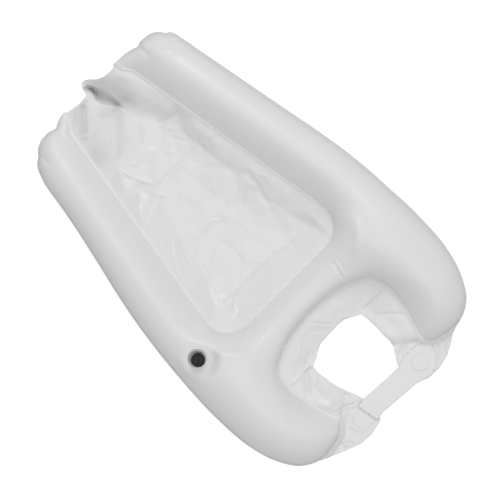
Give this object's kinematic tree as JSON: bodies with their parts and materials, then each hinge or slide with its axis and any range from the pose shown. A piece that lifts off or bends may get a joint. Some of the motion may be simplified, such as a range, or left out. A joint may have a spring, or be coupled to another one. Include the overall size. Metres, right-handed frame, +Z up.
{
  "type": "inflatable shampoo basin",
  "caption": "Portable inflatable hair-washing basin: air tubes round a drained trough, with a neck collar, a closing strap and a screw-cap air valve.",
  "frame": {"origin": "on the table, under the middle of the basin's length and width", "axes": "+Z up, +Y towards the open drain end, -Y towards the neck ring, +X towards the arm without the valve"},
  "size_m": [0.4504, 0.7139, 0.1033],
  "materials": {
    "white_vinyl": "satin",
    "thin_vinyl_film": "satin",
    "strap_vinyl": "satin",
    "hook_and_loop": "matte",
    "clear_vinyl": "gloss",
    "black_plastic": "satin",
    "silicone": "matte",
    "black_rubber": "matte"
  },
  "bodies": {
    "basin": {"upper_skin": "white_vinyl", "lower_skin": "white_vinyl", "trough_liner": "thin_vinyl_film", "neck_collar": "thin_vinyl_film", "strap_root": "strap_vinyl", "strap_weld_disc": "strap_vinyl", "loop_patch": "hook_and_loop", "valve_flange": "clear_vinyl", "valve_seat": "black_plastic"},
    "strap": {"neck_strap": "strap_vinyl", "hook_patch": "hook_and_loop"},
    "check_flap_body": {"check_flap": "silicone"},
    "cap_carrier": {"cap_gasket": "black_rubber"},
    "cap": {"valve_cap": "black_plastic"}
  },
  "joints": [
    {"name": "strap_peel", "type": "hinge", "parent": "basin", "child": "strap", "pos_m": [0.044, -0.3305, 0.03135], "axis": [0, 1, 0], "range_deg": [0, 110]},
    {"name": "check_flap_open", "type": "hinge", "parent": "basin", "child": "check_flap_body", "pos_m": [-0.17077, -0.0785, 0.08251], "axis": [0, -1, 0], "range_deg": [0, 50], "stiffness_Nm_per_rad": 0.0002, "springref_deg": -17.19},
    {"name": "cap_lift", "type": "slide", "parent": "basin", "child": "cap_carrier", "axis": [0, 0, 1], "range_m": [0, 0.005]},
    {"name": "cap_turn", "type": "hinge", "parent": "cap_carrier", "child": "cap", "pos_m": [-0.17747, -0.0785, 0.0937], "axis": [0, 0, 1], "range_deg": [0, 720]}
  ],
  "couplings": [
    {"joint": "cap_lift", "follows": "cap_turn", "m_per_rad": 0.00039789}
  ]
}
